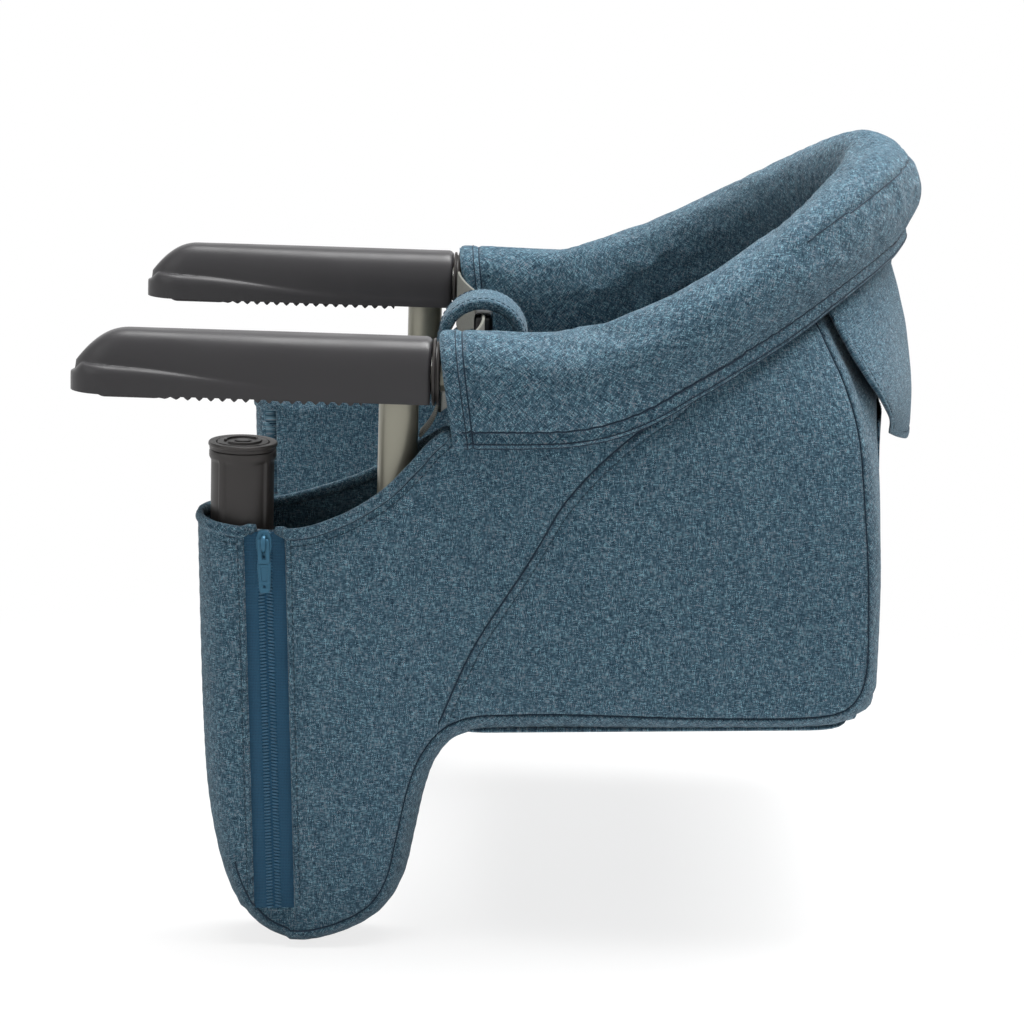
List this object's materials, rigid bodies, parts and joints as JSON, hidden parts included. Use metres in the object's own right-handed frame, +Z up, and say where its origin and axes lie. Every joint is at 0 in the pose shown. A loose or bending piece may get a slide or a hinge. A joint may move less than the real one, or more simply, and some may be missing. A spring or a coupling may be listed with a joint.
{
  "type": "hook-on table chair",
  "caption": "Fabric child's seat that hooks on a table edge: two padded arms grip the top, screw clamps press from below, and the hooks fold in.",
  "frame": {"origin": "on the mid-plane, where the table's top meets its front edge: the grip pads' teeth stand on z = 0 and the hooks' front legs touch x = 0", "axes": "+X away from the table to the backrest, +Y to the child's right, +Z up"},
  "size_m": [0.4361, 0.3574, 0.4121],
  "materials": {
    "body_fabric": "slubbed linen-look weave, blue with navy and pale threads",
    "roll_fabric": "the same weave cut on the bias over padding",
    "webbing": "woven belt webbing",
    "zip_tape": "zip tape with a coil",
    "zip_metal": "painted zip slider",
    "arm_plastic": "satin moulded, dark warm grey",
    "dark_plastic": "satin moulded, dark brown grey",
    "tube_silver": "champagne silver powder coat",
    "steel": "zinc plated",
    "rubber": "moulded rubber",
    "board": "hardboard stiffener"
  },
  "bodies": {
    "seat": {"back_rail": "tube_silver", "bolster": "roll_fabric", "back_panel": "body_fabric", "back_pocket": "body_fabric", "crotch_strap": "body_fabric", "seat_bottom": "body_fabric", "seat_board": "board", "seat_pad": "roll_fabric", "buckle_body": "dark_plastic", "buckle_tongue": "dark_plastic", "left_pivot_shaft": "steel", "left_stop_pin": "steel", "left_rail_pin": "steel", "left_belt_ring": "dark_plastic", "left_side_panel": "body_fabric", "left_waist_belt": "webbing", "right_pivot_shaft": "steel", "right_stop_pin": "steel", "right_rail_pin": "steel", "right_belt_ring": "dark_plastic", "right_side_panel": "body_fabric", "right_waist_belt": "webbing"},
    "left_arm": {"left_arm_tube": "steel", "left_hook_tube": "tube_silver", "left_arm_cover": "arm_plastic", "left_arm_base": "dark_plastic", "left_grip_pad": "rubber", "left_cover_screw_front": "steel", "left_cover_screw_rear": "steel", "left_arm_plug": "dark_plastic", "left_clamp_screw": "steel", "left_leg_sleeve": "body_fabric", "left_zip_chain": "zip_tape"},
    "left_clamp_foot": {"left_clamp_pad": "rubber", "left_pad_rivet": "steel"},
    "left_clamp_grip": {"left_clamp_sleeve": "dark_plastic", "left_clamp_cap": "dark_plastic"},
    "left_zip_runner": {"left_zip_slider": "zip_metal"},
    "left_zip_tab": {"left_zip_pull": "zip_metal"},
    "right_arm": {"right_arm_tube": "steel", "right_hook_tube": "tube_silver", "right_arm_cover": "arm_plastic", "right_arm_base": "dark_plastic", "right_grip_pad": "rubber", "right_cover_screw_front": "steel", "right_cover_screw_rear": "steel", "right_arm_plug": "dark_plastic", "right_clamp_screw": "steel", "right_leg_sleeve": "body_fabric", "right_zip_chain": "zip_tape"},
    "right_clamp_foot": {"right_clamp_pad": "rubber", "right_pad_rivet": "steel"},
    "right_clamp_grip": {"right_clamp_sleeve": "dark_plastic", "right_clamp_cap": "dark_plastic"},
    "right_zip_runner": {"right_zip_slider": "zip_metal"},
    "right_zip_tab": {"right_zip_pull": "zip_metal"},
    "flap": {"pocket_flap": "body_fabric"},
    "button": {"buckle_button": "arm_plastic"}
  },
  "joints": [
    {"name": "left_fold", "type": "hinge", "parent": "seat", "child": "left_arm", "pos_m": [0, -0.152, 0.0165], "axis": [1, 0, 0], "range_deg": [0, 83], "deforming": ["left_leg_sleeve"]},
    {"name": "left_clamp_travel", "type": "slide", "parent": "left_arm", "child": "left_clamp_foot", "axis": [0, 0, 1], "range_m": [-0.06, 0]},
    {"name": "left_clamp_turn", "type": "hinge", "parent": "left_clamp_foot", "child": "left_clamp_grip", "pos_m": [-0.068, -0.152, -0.05], "axis": [0, 0, 1], "range_deg": [-2700, 0]},
    {"name": "left_zip_slide", "type": "slide", "parent": "left_arm", "child": "left_zip_runner", "axis": [0.0404, 0, -0.9992], "range_m": [0, 0.18]},
    {"name": "left_zip_hinge", "type": "hinge", "parent": "left_zip_runner", "child": "left_zip_tab", "pos_m": [-0.05478, -0.1772, -0.0695], "axis": [-0.9992, 0, -0.0404], "range_deg": [0, 160]},
    {"name": "right_fold", "type": "hinge", "parent": "seat", "child": "right_arm", "pos_m": [0, 0.152, 0.0165], "axis": [-1, 0, 0], "range_deg": [0, 97], "deforming": ["right_leg_sleeve"]},
    {"name": "right_clamp_travel", "type": "slide", "parent": "right_arm", "child": "right_clamp_foot", "axis": [0, 0, 1], "range_m": [-0.06, 0]},
    {"name": "right_clamp_turn", "type": "hinge", "parent": "right_clamp_foot", "child": "right_clamp_grip", "pos_m": [-0.068, 0.152, -0.05], "axis": [0, 0, 1], "range_deg": [-2700, 0]},
    {"name": "right_zip_slide", "type": "slide", "parent": "right_arm", "child": "right_zip_runner", "axis": [0.0404, 0, -0.9992], "range_m": [0, 0.18]},
    {"name": "right_zip_hinge", "type": "hinge", "parent": "right_zip_runner", "child": "right_zip_tab", "pos_m": [-0.05478, 0.1772, -0.0695], "axis": [0.9992, 0, 0.0404], "range_deg": [0, 160]},
    {"name": "flap_lift", "type": "hinge", "parent": "seat", "child": "flap", "pos_m": [0.266, 0, 0.07], "axis": [0, -1, 0], "range_deg": [0, 110], "deforming": ["pocket_flap"]},
    {"name": "buckle_press", "type": "slide", "parent": "seat", "child": "button", "axis": [1, 0, 0], "range_m": [0, 0.002], "stiffness_N_per_m": 800, "springref_m": -0.001}
  ],
  "couplings": [
    {"joint": "left_clamp_turn", "follows": "left_clamp_travel", "rad_per_m": 785.4},
    {"joint": "right_clamp_turn", "follows": "right_clamp_travel", "rad_per_m": 785.4}
  ]
}
